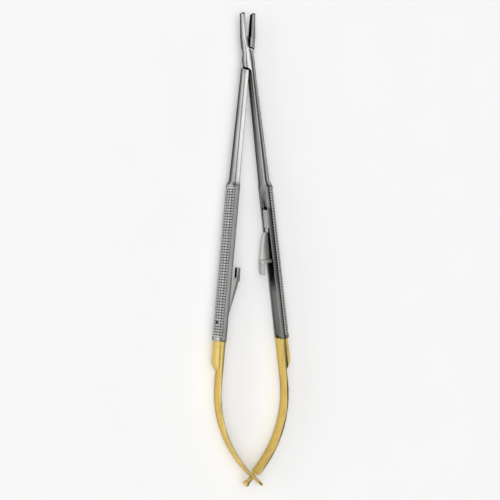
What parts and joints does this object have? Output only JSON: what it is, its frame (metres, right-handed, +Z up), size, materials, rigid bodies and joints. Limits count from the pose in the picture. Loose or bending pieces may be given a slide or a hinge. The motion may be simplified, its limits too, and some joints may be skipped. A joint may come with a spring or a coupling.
{
  "type": "surgical needle holder",
  "caption": "Spring-handled surgical needle holder with knurled round handles, hard jaw inserts, crossed leaf springs and a side-swinging catch.",
  "frame": {"origin": "middle of the underside of the whole, where it lies on its back", "axes": "+Y along the instrument towards the jaws, +X towards the right handle, +Z up, square to the lap"},
  "size_m": [0.0314, 0.18, 0.008],
  "materials": {
    "polished_steel": "polished",
    "hard_metal": "satin",
    "gold_plate": "polished",
    "satin_steel": "satin"
  },
  "bodies": {
    "right_side": {"front_half": "polished_steel", "front_jaw_insert": "hard_metal", "pivot_screw": "polished_steel", "right_spring": "gold_plate", "lever_pin": "polished_steel", "lever_spring": "satin_steel"},
    "left_side": {"back_half": "polished_steel", "back_jaw_insert": "hard_metal", "left_spring": "gold_plate", "fixed_catch": "satin_steel", "catch_rivet": "polished_steel"},
    "lever": {"catch_lever": "satin_steel"}
  },
  "joints": [
    {"name": "jaw_pivot", "type": "hinge", "parent": "right_side", "child": "left_side", "pos_m": [0, 0.07227, 0.004], "axis": [0, 0, 1], "range_deg": [0, 8.9], "stiffness_Nm_per_rad": 1.8, "deforming": ["left_spring", "right_spring"]},
    {"name": "lever_swing", "type": "hinge", "parent": "right_side", "child": "lever", "pos_m": [0.00636, 0.0118, 0.004], "axis": [-0.9945, -0.1045, 0], "range_deg": [0, 8.5], "stiffness_Nm_per_rad": 0.02, "springref_deg": -11.46, "deforming": ["lever_spring"]}
  ]
}
